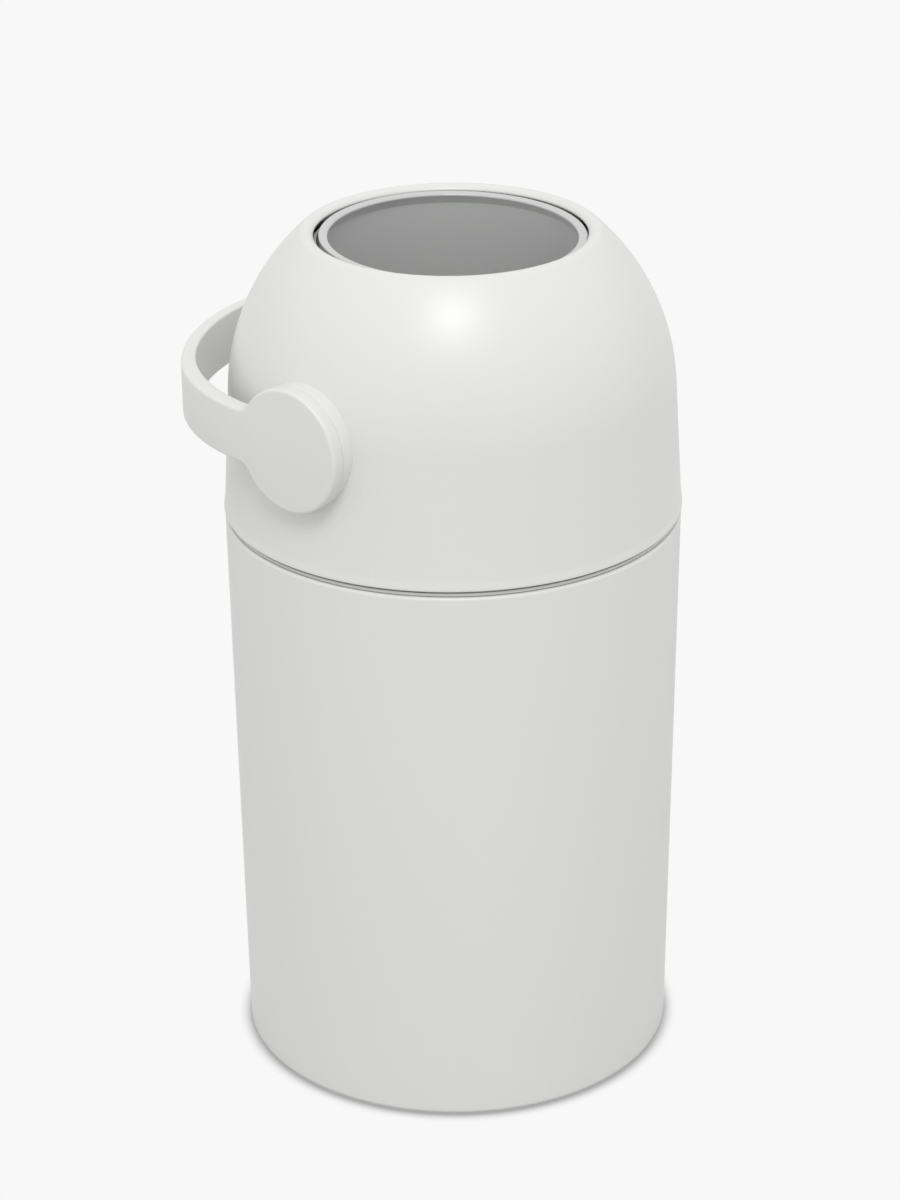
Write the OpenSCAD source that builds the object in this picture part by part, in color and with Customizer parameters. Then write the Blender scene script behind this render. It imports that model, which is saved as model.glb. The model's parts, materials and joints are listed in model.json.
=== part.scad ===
// Nappy bin: tapered bucket, lift-off dome, and a ball drum turned by a bail handle.
// Millimetres. Origin at the centre of the base, +Z up, X along the drum's pivot.
// At rest the handle lies level towards +Y and the drum's open mouth faces up.

/* [Bucket] */
// Height of the bucket's rim above the floor
bucket_h = 332.4; // [280:0.1:380]
// Outer radius at the rim
bucket_r = 130.7; // [125:0.1:137]
// How much smaller the radius is at the base
bucket_taper = 4.6; // [0:0.1:9]
// Wall thickness of the bucket
bucket_wall = 2.6; // [1.8:0.1:3.6]
// Thickness of the floor plate
floor_t = 3; // [2:0.1:5]
// Radius of the rounded edge between wall and base
base_round = 6; // [3:0.1:12]
// Depth of the shallow recess under the floor
foot_recess = 1.6; // [0.8:0.1:2.4]
// Width of the rim that the bucket stands on
foot_w = 13; // [8:0.1:22]
// Radius of the flat pad in the middle of the base
centre_pad_r = 38; // [20:0.5:60]

/* [Bag ring] */
// Height of the band that shows in the seam
ring_t = 2.5; // [1.5:0.1:3.5]
// How far the band stands back from the bucket's side
ring_setback = 1.2; // [0.4:0.1:2]
// Width of the flat part of the ring
ring_w = 12.9; // [11:0.1:14]
// Depth of the skirt that hangs in the bucket
ring_skirt_h = 15; // [8:0.1:24]
// Wall thickness of the skirt
ring_skirt_t = 2; // [1.2:0.1:2.6]
// Room between the skirt and the bucket for the bag's film
film_gap = 1; // [0.5:0.1:1.6]

/* [Dome] */
// Shadow gap between the dome's edge and the band
seam_gap = 1.2; // [0.3:0.1:1.6]
// Wall thickness of the dome
dome_wall = 2.6; // [1.8:0.1:3.2]
// Height of the drum's pivot above the dome's edge
pivot_rise = 70.9; // [68:0.1:75]
// How much smaller the dome's sphere is than the bucket's rim
dome_inset = 3.8; // [3:0.1:5]
// How far the sphere's centre lies below the pivot
dome_drop = 4.3; // [2:0.1:6]
// Height over which the dome's edge flares out
edge_lip_h = 5.6; // [3:0.1:9]
// How far the edge flares out
edge_lip_out = 0.6; // [0.3:0.1:1.2]
// Radius of the round opening at the top
opening_r = 76.5; // [72:0.1:80]
// Radius of the bead round the opening
bead_r = 5; // [4:0.1:6]

/* [Pivot] */
// Radius of the round landing under each disc
boss_r = 34.8; // [31:0.1:37]
// How far the landing stands proud where the dome is widest beside it
boss_proud = 0.1; // [0.1:0.1:1]
// Radius of the hub's journal
journal_r = 11.5; // [10.5:0.1:12.5]
// Running clearance between journal and bush
journal_fit = 0.06; // [0.02:0.01:0.1]
// Wall thickness of the bush
bush_wall = 2.4; // [1.6:0.1:3.2]
// Thickness of the bush's flange
bush_flange_t = 1.2; // [0.8:0.1:1.6]
// Width of the stop rib and of the drum's stop lug
stop_w = 5; // [3:0.1:6]
// Half of the angle that the stop lug covers
stop_half_angle = 6; // [4:0.5:9]

/* [Drum] */
// Space between the dome's inside and the ball at the pivot's height
ball_space = 9.8; // [8:0.1:10.5]
// Wall thickness of the ball
ball_wall = 2.4; // [1.8:0.1:3]
// Gap between the dome's opening and the drum's rim
mouth_gap = 1.7; // [1:0.1:2.5]
// Radius of the rim's rounded edge
rim_round = 2; // [1:0.1:2.4]
// Thickness of the rim's inward lip
rim_lip_t = 3.5; // [2.5:0.1:5]
// How far the rim's lip reaches in past the tube's bore
rim_lip_in = 1.8; // [1:0.1:2.6]
// Wall thickness of the tube
tube_wall = 1.8; // [1.2:0.1:2.4]
// Wall thickness of the rim's skirt round the tube
rim_skirt_t = 1.3; // [1:0.1:1.8]
// Depth of the rim's skirt
rim_skirt_h = 6; // [4:0.1:9]
// Height of the collar that holds the tube in each ball half
collar_h = 12; // [8:0.1:18]
// Radius of the hub's flange
hub_flange_r = 22; // [20:0.1:24]
// Thickness of the hub's flange
hub_flange_t = 3.2; // [2.6:0.1:4.4]
// Side of the square drive between handle and hub
drive_w = 13; // [11:0.1:14]

/* [Piston] */
// Height of the piston
piston_h = 30; // [22:0.5:40]
// Wall thickness of the piston's cups
piston_wall = 2.2; // [1.6:0.1:3]
// Thickness of the wiper ring
wiper_t = 2.4; // [1.6:0.1:3.6]
// Clearance between the piston's cups and the bore
piston_fit = 0.5; // [0.3:0.05:0.8]
// Clearance between the wiper and the bore
wiper_fit = 0.1; // [0.05:0.01:0.2]
// Depth of the dish in the piston's faces
piston_dish = 2; // [0.5:0.1:3]

/* [Handle] */
// Radius of the handle's discs
disc_r = 35.2; // [32:0.1:38]
// Thickness of the discs
disc_t = 7.8; // [6:0.1:9]
// Radius of the rounded edge of the disc's face
disc_round = 1.7; // [0.8:0.1:2.4]
// Width of the strap
strap_w = 31; // [26:0.1:34]
// Distance from the pivot's line to the outside of the crown
handle_reach = 154.1; // [149:0.1:162]
// How much rounder the crown's arc is than half the handle's width
crown_extra = 11.7; // [9:0.1:20]
// Radius of the outer shoulder arcs
shoulder_r = 109.6; // [90:0.1:118]
// The same extra radius on the strap's inside
grip_extra = 11.4; // [8:0.1:16]
// Radius of the inner shoulder arcs
grip_shoulder_r = 109.4; // [85:0.1:114]
// Thickness of the strap at the crown
strap_crown_t = 7.5; // [6:0.1:9]
// Thickness of the strap beside the discs
strap_side_t = 9.8; // [8.5:0.1:12]
// Radius of the hollow necks between strap and disc
neck_r = 9; // [5:0.1:14]

/* [Seals and screws] */
// Gap between a seal's lip and the turning ball
seal_gap = 0.3; // [0.2:0.05:0.5]
// Width of the seals round the ball
seal_w = 4.5; // [3:0.1:6]
// Space between the ball and the cradle's bowl
bowl_space = 3.5; // [2.6:0.1:4.5]
// Width of the gasket under the cradle's flange
gasket_w = 4; // [3:0.1:5]
// Radius of a screw's shank
screw_r = 1.5; // [1.2:0.05:1.8]
// Radius of a screw's head
head_r = 3.1; // [2.6:0.1:3.4]
// Height of a screw's head
head_h = 2.2; // [1.6:0.1:2.8]
// Clearance between fixed pieces that sit in each other
seat_gap = 0.3; // [0.1:0.05:0.4]

/* [Hidden] */
$fn = 128;
far = 400;
eps = 0.01;
sector_lap = 2;
// Rounded to a hundredth of a millimetre, so that stacked solids meet exactly
function snap(z) = round(100 * z) / 100;

// Colours
shell_white = [0.87, 0.87, 0.86];
rim_grey = [0.78, 0.79, 0.78];
bore_grey = [0.64, 0.65, 0.64];
ring_grey = [0.74, 0.75, 0.74];
inner_white = [0.82, 0.82, 0.80];
seal_grey = [0.45, 0.46, 0.46];
acetal = [0.93, 0.93, 0.88];
steel = [0.70, 0.71, 0.73];

// Heights and radii along the stack
bucket_base_r = bucket_r - bucket_taper;
bucket_rim_z = bucket_h - bucket_wall / 2;
bucket_slope = bucket_taper / bucket_rim_z;
ring_top = bucket_h + ring_t;
ring_r = bucket_r - ring_setback;
ring_hole_r = ring_r - ring_w;
ring_skirt_r = bucket_r - bucket_wall - bucket_slope * ring_skirt_h - film_gap;
ring_collar_h = 7;
dome_edge = ring_top + seam_gap;
pivot_z = dome_edge + pivot_rise;

// Dome outline: a cone that runs tangent into a sphere
dome_r = bucket_r - dome_inset;
dome_c = [0, pivot_z - dome_drop];
cone_foot = [bucket_r, snap(dome_edge + edge_lip_h)];
foot_dir = cone_foot - dome_c;
cone_turn = atan2(foot_dir[1], foot_dir[0]) + acos(dome_r / norm(foot_dir));
cone_n = [cos(cone_turn), sin(cone_turn)];
function cone_r(z) = cone_foot[0] - (z - cone_foot[1]) * tan(cone_turn);

// Bead round the opening, tangent to the sphere
bead_c = [
    opening_r + bead_r,
    dome_c[1] + sqrt(pow(dome_r - bead_r, 2) - pow(opening_r + bead_r, 2))
];
bead_touch_r = bead_c[0] * dome_r / (dome_r - bead_r);

// Drum
rim_clear = 0.2;
collar_t = 5;
lip_clear = 0.8;
ball_r = dome_r - dome_wall - ball_space;
mouth_r = opening_r - mouth_gap;
rim_top = rim_round + sqrt(pow(ball_r - rim_clear - rim_round, 2) - pow(mouth_r - rim_round, 2));
tube_half = rim_top - rim_lip_t;
tube_r = mouth_r - rim_skirt_t - seat_gap;
bore_r = tube_r - tube_wall;
rim_hole_r = bore_r - rim_lip_in;
collar_top = tube_half - rim_skirt_h;

// Pivot, from the drum outwards
hub_pad_r = hub_flange_r + 2;
hub_pad_in = 1.5;
hub_pad_x = sqrt(pow(ball_r - ball_wall, 2) - pow(hub_pad_r, 2)) - hub_pad_in;
hub_bore_r = journal_r + 0.5;
ball_pad_r = journal_r + 5;
ball_pad_x = ball_r + 1.4;
bush_x = ball_pad_x + seat_gap;
bearing_x = bush_x + bush_flange_t;
boss_x = cone_r(pivot_z - boss_r) + boss_proud;
disc_x = boss_x + seat_gap;
face_x = disc_x + disc_t;
bush_r = journal_r + journal_fit + bush_wall;
bush_press = 0.05;
bush_end_x = boss_x - 0.3;
bearing_r = bush_r + 3;
bush_flange_r = bush_r + 2.4;
journal_end_x = boss_x - 0.2;
stop_r = bearing_r + 5;
lug_x = bearing_x + 3.4;
stop_free_angle = stop_half_angle + asin(seat_gap / stop_r);
drive_fit = 0.1;
drive_end_x = hub_pad_x + seat_gap;

// Cradle, with its flange above the gasket
bowl_r = ball_r + bowl_space;
cradle_t = 2.4;
drop_r = mouth_r + 5.2;
gasket_h = 4.1;
flange_z = ring_top + gasket_h;
flange_top = flange_z + cradle_t;
flange_in = sqrt(pow(bowl_r, 2) - pow(pivot_z - flange_top, 2)) + 0.5;
cradle_r = cone_r(flange_top) - dome_wall - 0.4;
locator_r = ring_hole_r - 0.6;
locator_t = 2.2;
locator_h = 15;
gasket_r = locator_r + 3.4;
groove_rib_r = gasket_r + gasket_w + 0.4;
groove_rib_t = 1.2;
groove_rib_h = 2.9;

// Top seal's rib in the dome
seal_rib_t = 1.6;
seal_rib_r = bead_c[0] + bead_r + seal_w + 2 * seat_gap;

// Screws and the posts they go into
pilot_gap = 0.02;
hole_gap = 0.2;
head_gap = 0.4;
pilot_spare = 1;
post_r = 4;
post_space = 2;
post_web_t = 3;
post_ring_r = locator_r - locator_t - head_r - 0.8;
post_top = pivot_z - sqrt(pow(ball_r, 2) - pow(post_ring_r - post_r - post_space, 2));
post_angles = [45, 135, 225, 315];
cradle_screw_l = post_top - flange_z - 3;
ball_post_r = 4.5;
ball_post_h = 20;
ball_web_t = 2.4;
ball_web_z = 4;
ball_screw_ring_r = ball_r - 13.5;
ball_screw_angle = 25;
ball_screw_seat = -9;
ball_screw_l = 20;
hub_screw_ring_r = hub_flange_r - 4.6;
hub_screw_grip = 3.2;
handle_screw_grip = 14;
piston_screw_ring_r = 40;
piston_screw_seat = -6;
piston_screw_l = 13;
piston_post_r = 5;

// Piston
piston_mid = piston_h / 2 - tube_half;
cup_h = (piston_h - wiper_t) / 2;
piston_r = bore_r - piston_fit;
cup_edge = 1;
cup_land = 9;
cup_slope = 6;
cup_clamp_w = 4;
cup_clamp_t = 1.6;

// Handle plan
crown_r = face_x + crown_extra;
crown_y = handle_reach - crown_r;
shoulder_c = shoulder_centre(face_x, shoulder_r, crown_r, crown_y);
grip_x = face_x - strap_side_t;
grip_r = grip_x + grip_extra;
grip_y = handle_reach - strap_crown_t - grip_r;
grip_c = shoulder_centre(grip_x, grip_shoulder_r, grip_r, grip_y);
strap_start = boss_r + 0.8;
strap_lap = 10;
neck_lap = [3, 4];
function shoulder_centre(half_w, r, crown, y) =
    [half_w - r, y + sqrt(pow(crown - r, 2) - pow(half_w - r, 2))];

// ---- helpers ----

module at_pivot() {
    translate([0, 0, pivot_z]) children();
}

module both_sides() {
    children();
    mirror([1, 0, 0]) children();
}

// Children drawn with their own Z along +X from the pivot's centre
module along_pivot() {
    at_pivot() rotate([0, 90, 0]) children();
}

module pivot_rod(x0, x1, r) {
    along_pivot() translate([0, 0, x0]) cylinder(r = r, h = x1 - x0);
}

module square_rod(x0, x1, side) {
    along_pivot() translate([0, 0, (x0 + x1) / 2])
        cube([side, side, x1 - x0], center = true);
}

module ring_band(r0, r1, z0, z1) {
    translate([0, 0, z0]) difference() {
        cylinder(r = r1, h = z1 - z0);
        translate([0, 0, -1]) cylinder(r = r0, h = z1 - z0 + 2);
    }
}

// Screw that points up, with its head's seat at z = 0
module screw(length) {
    translate([0, 0, -head_h]) cylinder(r = head_r, h = head_h);
    cylinder(r = screw_r, h = length);
}

module screw_pilot(length) {
    cylinder(r = screw_r + pilot_gap, h = length);
}

// ---- bucket ----

module bucket_side(inset, z0, z1) {
    polygon([
        [0, z0],
        [bucket_base_r + bucket_slope * z0 - inset, z0],
        [bucket_base_r + bucket_slope * z1 - inset, z1],
        [0, z1]
    ]);
}

module round_base_corner(inset, z0, radius) {
    corner_r = bucket_base_r + bucket_slope * (z0 + radius) - inset - radius;
    difference() {
        children();
        difference() {
            translate([corner_r, z0 - radius]) square([3 * radius, 2 * radius]);
            translate([corner_r, z0 + radius]) circle(r = radius);
        }
    }
}

module bucket() color(shell_white) {
    rim_c = [bucket_r - bucket_wall / 2, bucket_rim_z];
    inner_round = max(base_round - bucket_wall, 1);
    difference() {
        rotate_extrude() {
            difference() {
                round_base_corner(0, 0, base_round) bucket_side(0, 0, rim_c[1]);
                round_base_corner(bucket_wall, floor_t, inner_round)
                    bucket_side(bucket_wall, floor_t, bucket_h + 1);
            }
            translate(rim_c) circle(r = bucket_wall / 2);
        }
        ring_band(centre_pad_r, bucket_base_r - base_round - foot_w, -1, foot_recess);
    }
}

// ---- bag ring ----

module bag_ring() color(ring_grey) {
    ring_band(ring_hole_r, ring_r, bucket_h, ring_top);
    ring_band(ring_skirt_r - ring_skirt_t, ring_skirt_r, bucket_h - ring_skirt_h, bucket_h + eps);
    ring_band(ring_hole_r, ring_hole_r + ring_skirt_t, bucket_h - ring_collar_h, bucket_h + eps);
}

// ---- dome ----

// Solid of the dome's outline, set in by a distance: foot, cone, and sphere
module dome_body(inset) {
    foot = cone_foot - inset * [cone_n[0], 0];
    turn_z = snap(dome_c[1] + (dome_r - inset) * cone_n[1]);
    turn_r = sqrt(pow(dome_r - inset, 2) - pow(turn_z - dome_c[1], 2));
    translate([0, 0, dome_edge - 1]) cylinder(r = foot[0], h = foot[1] - dome_edge + 1);
    translate([0, 0, foot[1]]) cylinder(r1 = foot[0], r2 = turn_r, h = turn_z - foot[1]);
    difference() {
        translate([0, 0, dome_c[1]]) sphere(r = dome_r - inset);
        translate([0, 0, turn_z - far]) cylinder(r = far, h = far);
    }
}

// Half of the bead's section, from the opening to where the bead meets the sphere
module bead_section() {
    intersection() {
        translate(bead_c) circle(r = bead_r);
        translate([0, dome_edge]) square([bead_touch_r, far]);
    }
}

module edge_lip_section() {
    lip_r = bucket_r + edge_lip_out;
    polygon([
        [bucket_r - dome_wall, dome_edge],
        [bucket_r, dome_edge],
        [lip_r, dome_edge + edge_lip_out],
        [lip_r, dome_edge + 2 * edge_lip_out],
        [bucket_r, dome_edge + edge_lip_h],
        [bucket_r - dome_wall, dome_edge + edge_lip_h]
    ]);
}

// Rib that holds the top seal against the bead
module seal_rib() {
    far_r = seal_rib_r + seal_rib_t;
    rib_z = pivot_z + sqrt(pow(ball_r + 2, 2) - pow(seal_rib_r, 2));
    top_z = dome_c[1] + sqrt(pow(dome_r - dome_wall / 2, 2) - pow(far_r, 2));
    ring_band(seal_rib_r, far_r, rib_z, top_z);
}

// Half ring that the drum's lug meets at both ends of its turn
module stop_rib() {
    along_pivot() translate([0, 0, bearing_x]) difference() {
        cylinder(r = stop_r + stop_w / 2, h = boss_x - dome_wall / 2 - bearing_x);
        translate([0, 0, -1]) cylinder(r = stop_r - stop_w / 2, h = far);
        // the half that the drum's lug sweeps stays open, and so do the ends beside it
        translate([-far / 2, 0, -1]) cube([far, far, far]);
        for (side = [0, 1]) mirror([side, 0, 0]) rotate([0, 0, -stop_free_angle])
            translate([0, 0, -1]) cube([far, far, far]);
    }
}

module dome_post(angle) {
    post_h = post_top - flange_top;
    web = cone_r(post_top) - dome_wall / 2 - post_ring_r;
    rotate([0, 0, angle]) translate([post_ring_r, 0, flange_top]) {
        cylinder(r = post_r, h = post_h);
        translate([0, -post_web_t / 2, 0]) cube([web, post_web_t, post_h]);
    }
}

module dome() color(shell_white) difference() {
    union() {
        difference() {
            union() {
                dome_body(0);
                both_sides() pivot_rod(dome_r - 20, boss_x, boss_r);
            }
            dome_body(dome_wall);
            both_sides() pivot_rod(dome_r - 30, boss_x - dome_wall, boss_r - dome_wall);
            translate([0, 0, pivot_z]) cylinder(r = bead_touch_r, h = far);
            translate([0, 0, dome_edge - far]) cylinder(r = far, h = far);
        }
        rotate_extrude() bead_section();
        rotate_extrude() edge_lip_section();
        seal_rib();
        both_sides() {
            pivot_rod(bearing_x, boss_x - dome_wall / 2, bearing_r);
            stop_rib();
        }
        for (a = post_angles) dome_post(a);
    }
    at_pivot() sphere(r = ball_r + lip_clear);
    both_sides() pivot_rod(bearing_x - 1, boss_x + 1, bush_r + bush_press);
    for (a = post_angles) rotate([0, 0, a])
        translate([post_ring_r, 0, flange_z]) screw_pilot(cradle_screw_l + pilot_spare);
}

// ---- cradle ----

module cradle() color(inner_white) difference() {
    union() {
        rotate_extrude() {
            intersection() {
                translate([0, pivot_z]) difference() {
                    circle(r = bowl_r + cradle_t);
                    circle(r = bowl_r);
                }
                translate([drop_r, 0]) square([far, flange_top]);
            }
            translate([flange_in, flange_z]) square([cradle_r - flange_in, cradle_t]);
        }
        ring_band(locator_r - locator_t, locator_r, flange_z - locator_h, flange_z + eps);
        ring_band(groove_rib_r, groove_rib_r + groove_rib_t, flange_z - groove_rib_h, flange_z + eps);
    }
    for (a = post_angles) rotate([0, 0, a]) translate([post_ring_r, 0, flange_z - 1])
        cylinder(r = screw_r + hole_gap, h = cradle_t + 2);
}

module cradle_screws() color(steel)
    for (a = post_angles) rotate([0, 0, a]) translate([post_ring_r, 0, flange_z])
        screw(cradle_screw_l);

// ---- seals ----

module lid_gasket() color(seal_grey)
    ring_band(gasket_r + 0.1, gasket_r + gasket_w, ring_top, flange_z);

module top_seal() color(seal_grey) rotate_extrude() {
    seal_r = bead_c[0] + bead_r + seat_gap;
    intersection() {
        translate(dome_c) circle(r = dome_r - dome_wall - 0.1);
        difference() {
            translate([seal_r, pivot_z]) square([seal_w, far]);
            translate([0, pivot_z]) circle(r = ball_r + seal_gap);
        }
    }
}

module drop_seal() color(seal_grey) rotate_extrude() intersection() {
    translate([0, pivot_z]) difference() {
        circle(r = bowl_r - 0.1);
        circle(r = ball_r + seal_gap);
    }
    translate([drop_r, 0]) square([seal_w, pivot_z]);
}

// ---- pivot bushes ----

module pivot_bush() color(acetal) difference() {
    union() {
        pivot_rod(bush_x, bush_end_x, bush_r);
        pivot_rod(bush_x, bearing_x, bush_flange_r);
    }
    pivot_rod(bush_x - 1, boss_x + 1, journal_r + journal_fit);
}

module pivot_bush_right() pivot_bush();
module pivot_bush_left() mirror([1, 0, 0]) pivot_bush();

// ---- ball ----

module ball_shell_section() {
    difference() {
        union() {
            difference() {
                circle(r = ball_r);
                circle(r = ball_r - ball_wall);
            }
            intersection() {
                translate([tube_r + seat_gap, collar_top - collar_h]) square([collar_t, far]);
                circle(r = ball_r - ball_wall / 2);
            }
        }
        translate([-far, collar_top]) square([far + mouth_r + seat_gap, far]);
        translate([-far, -far]) square([2 * far, far]);
        translate([-far, -far]) square([far, 2 * far]);
    }
}

module ball_half_shape() {
    difference() {
        union() {
            at_pivot() rotate_extrude() ball_shell_section();
            both_sides() difference() {
                along_pivot() rotate_extrude() hub_pad_section();
                lower_space();
            }
        }
        both_sides() pivot_rod(hub_pad_x - 1, ball_pad_x + 1, hub_bore_r);
    }
}

// Flat seat for the hub's flange inside, and a flat landing for the bush outside
module hub_pad_section() {
    intersection() {
        translate([0, hub_pad_x]) square([hub_pad_r, 20]);
        circle(r = ball_r - ball_wall / 2);
    }
    translate([0, hub_pad_x + 1]) square([ball_pad_r, ball_pad_x - hub_pad_x - 1]);
}

module lower_space() {
    at_pivot() translate([-far / 2, -far / 2, -far]) cube([far, far, far]);
}

module at_ball_screws() {
    for (side = [0, 180], a = [-ball_screw_angle, ball_screw_angle])
        at_pivot() rotate([0, 0, side + a]) translate([ball_screw_ring_r, 0, 0]) children();
}

module ball_upper() color(inner_white) difference() {
    union() {
        ball_half_shape();
        at_ball_screws() {
            cylinder(r = ball_post_r, h = ball_post_h);
            intersection() {
                translate([0, -ball_web_t / 2, ball_web_z])
                    cube([ball_r - ball_screw_ring_r, ball_web_t, ball_post_h - ball_web_z]);
                translate([-ball_screw_ring_r, 0, 0]) sphere(r = ball_r - ball_wall / 2);
            }
        }
    }
    at_ball_screws() translate([0, 0, ball_screw_seat])
        screw_pilot(ball_screw_l + pilot_spare);
    both_sides() at_hub_screws() translate([0, 0, -1])
        screw_pilot(hub_screw_grip + pilot_spare + 1);
}

module at_hub_screws() {
    for (a = [-45, 45]) along_pivot() rotate([0, 0, 180 + a])
        translate([hub_screw_ring_r, 0, hub_pad_x]) children();
}

// Locating lip round the joint of the two halves
module equator_lip() {
    lip_t = 2;
    lip_h = 2.5;
    lip_root = 6;
    lip_r = ball_r - ball_wall - hole_gap;
    at_pivot() difference() {
        rotate_extrude() intersection() {
            circle(r = ball_r - ball_wall / 2);
            polygon([
                [lip_r - lip_t, -lip_root],
                [ball_r, -lip_root],
                [ball_r, 0],
                [lip_r, 0],
                [lip_r, lip_h],
                [lip_r - lip_t, lip_h]
            ]);
        }
        cube([far, 2 * hub_pad_r + 4, 4 * lip_root], center = true);
    }
}

module stop_lug() {
    intersection() {
        along_pivot() difference() {
            cylinder(r = stop_r + stop_w / 2, h = lug_x);
            translate([0, 0, -1]) cylinder(r = stop_r - stop_w / 2, h = far);
            cylinder(r = far, h = hub_pad_x + 1);
        }
        along_pivot() linear_extrude(height = far) polygon([
            [0, 0],
            far * [cos(stop_half_angle), sin(stop_half_angle)],
            far * [cos(stop_half_angle), -sin(stop_half_angle)]
        ]);
    }
}

module ball_lower() color(inner_white) difference() {
    union() {
        at_pivot() mirror([0, 0, 1]) translate([0, 0, -pivot_z]) ball_half_shape();
        equator_lip();
        both_sides() stop_lug();
        at_ball_screws() intersection() {
            translate([0, 0, -far]) cylinder(r = head_r + head_gap + 2, h = far);
            translate([-ball_screw_ring_r, 0, 0]) sphere(r = ball_r - ball_wall / 2);
        }
    }
    at_ball_screws() {
        translate([0, 0, -far]) cylinder(r = screw_r + hole_gap, h = far + 1);
        translate([0, 0, ball_screw_seat - far]) cylinder(r = head_r + head_gap, h = far);
    }
}

module ball_screws() color(steel)
    at_ball_screws() translate([0, 0, ball_screw_seat]) screw(ball_screw_l);

// ---- tube and rims ----

module drum_tube() color(bore_grey) at_pivot()
    ring_band(bore_r, tube_r, -tube_half, tube_half);

module mouth_rim() {
    rotate_extrude() difference() {
        union() {
            translate([rim_hole_r, tube_half]) {
                square([mouth_r - rim_round - rim_hole_r, rim_lip_t - rim_round]);
                translate([rim_round, 0])
                    square([mouth_r - 2 * rim_round - rim_hole_r, rim_lip_t]);
            }
            translate([tube_r + seat_gap, collar_top])
                square([rim_skirt_t, rim_skirt_h + rim_lip_t - rim_round]);
            for (r = [rim_hole_r + rim_round, mouth_r - rim_round])
                translate([r, rim_top - rim_round]) circle(r = rim_round);
        }
        translate([0, -far + tube_half]) square([tube_r + seat_gap, far]);
    }
}

module mouth_rim_upper() color(rim_grey) at_pivot() mouth_rim();
module mouth_rim_lower() color(rim_grey) at_pivot() mirror([0, 0, 1]) mouth_rim();

// ---- hubs ----

module hub() color(acetal) difference() {
    union() {
        pivot_rod(hub_pad_x - hub_flange_t, hub_pad_x, hub_flange_r);
        pivot_rod(hub_pad_x - hub_flange_t, journal_end_x, journal_r);
    }
    square_rod(hub_pad_x, far, drive_w + 2 * drive_fit);
    pivot_rod(0, far, screw_r + hole_gap);
    at_hub_screws() translate([0, 0, -far]) cylinder(r = screw_r + hole_gap, h = far + 1);
}

module hub_right() hub();
module hub_left() mirror([1, 0, 0]) hub();

module hub_screws() color(steel) both_sides()
    at_hub_screws() translate([0, 0, -hub_flange_t]) screw(hub_flange_t + hub_screw_grip);

// ---- handle ----

// Wedge-shaped slice of a circle, from angle a0 to a1
module sector(centre, r, a0, a1) {
    reach = 2 * r;
    intersection() {
        translate(centre) circle(r = r);
        polygon([
            centre,
            centre + reach * [cos(a0), sin(a0)],
            centre + 2 * reach * [cos((a0 + a1) / 2), sin((a0 + a1) / 2)],
            centre + reach * [cos(a1), sin(a1)]
        ]);
    }
}

// Plan of a bail: straight sides, shoulder arcs, and a crown arc, all tangent
module bail_plan(half_w, r, centre, crown, y) {
    turn = atan2(centre[1] - y, centre[0]);
    translate([-half_w, 0]) square([2 * half_w, centre[1]]);
    sector([0, y], crown, turn, 180 - turn);
    for (side = [0, 1]) mirror([side, 0]) sector(centre, r, -sector_lap, turn + sector_lap);
}

module strap() {
    at_pivot() difference() {
        linear_extrude(height = strap_w, center = true)
            bail_plan(face_x, shoulder_r, shoulder_c, crown_r, crown_y);
        linear_extrude(height = strap_w + 2, center = true)
            bail_plan(grip_x, grip_shoulder_r, grip_c, grip_r, grip_y);
        translate([-far, -far, -strap_w]) cube([2 * far, far + strap_start, 2 * strap_w]);
    }
}

// Disc with a rounded face edge, and the hollow necks that lead into the strap
module disc_end() {
    along_pivot() translate([0, 0, disc_x]) rotate_extrude() {
        square([disc_r, disc_t - disc_round]);
        square([disc_r - disc_round, disc_t]);
        translate([disc_r - disc_round, disc_t - disc_round]) circle(r = disc_round);
    }
    at_pivot() translate([disc_x, disc_r - strap_lap, -strap_w / 2])
        cube([disc_t, strap_start - disc_r + strap_lap + 1, strap_w]);
    along_pivot() translate([0, 0, disc_x]) linear_extrude(height = disc_t)
        for (side = [0, 1]) mirror([side, 0]) neck_patch();
}

module neck_patch() {
    reach = disc_r + neck_r;
    centre = [strap_w / 2 + neck_r, sqrt(pow(reach, 2) - pow(strap_w / 2 + neck_r, 2))];
    on_disc = centre * disc_r / reach;
    on_strap = [strap_w / 2, centre[1]];
    inner_x = strap_w / 2 - neck_lap[0];
    difference() {
        polygon([
            [inner_x, on_disc[1] - neck_lap[1]], on_disc, centre, on_strap, [inner_x, on_strap[1]]
        ]);
        translate(centre) circle(r = neck_r);
    }
}

module handle() color(shell_white) difference() {
    union() {
        strap();
        both_sides() {
            disc_end();
            square_rod(drive_end_x, disc_x + 1, drive_w);
        }
    }
    both_sides() pivot_rod(hub_pad_x, hub_pad_x + handle_screw_grip + pilot_spare, screw_r + pilot_gap);
}

module handle_screws() color(steel) both_sides()
    along_pivot() translate([0, 0, hub_pad_x - hub_flange_t]) screw(hub_flange_t + handle_screw_grip);

// ---- piston ----

// Upper cup, drawn upwards from the piston's middle plane
module piston_cup() {
    land_r = piston_r - cup_land;
    dish_r = land_r - cup_slope;
    wall_r = piston_r - piston_wall;
    roof = cup_h - piston_wall;
    translate([0, 0, wiper_t / 2]) rotate_extrude() difference() {
        polygon([
            [0, 0],
            [piston_r, 0],
            [piston_r, cup_h - cup_edge],
            [piston_r - cup_edge, cup_h],
            [land_r, cup_h],
            [dish_r, cup_h - piston_dish],
            [0, cup_h - piston_dish]
        ]);
        polygon([
            [-1, -1],
            [wall_r - cup_clamp_w, -1],
            [wall_r - cup_clamp_w, cup_clamp_t],
            [wall_r, cup_clamp_t],
            [wall_r, roof],
            [land_r, roof],
            [dish_r, roof - piston_dish],
            [-1, roof - piston_dish]
        ]);
    }
    at_piston_screws() cylinder(r = piston_post_r, h = wiper_t / 2 + roof);
}

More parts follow.
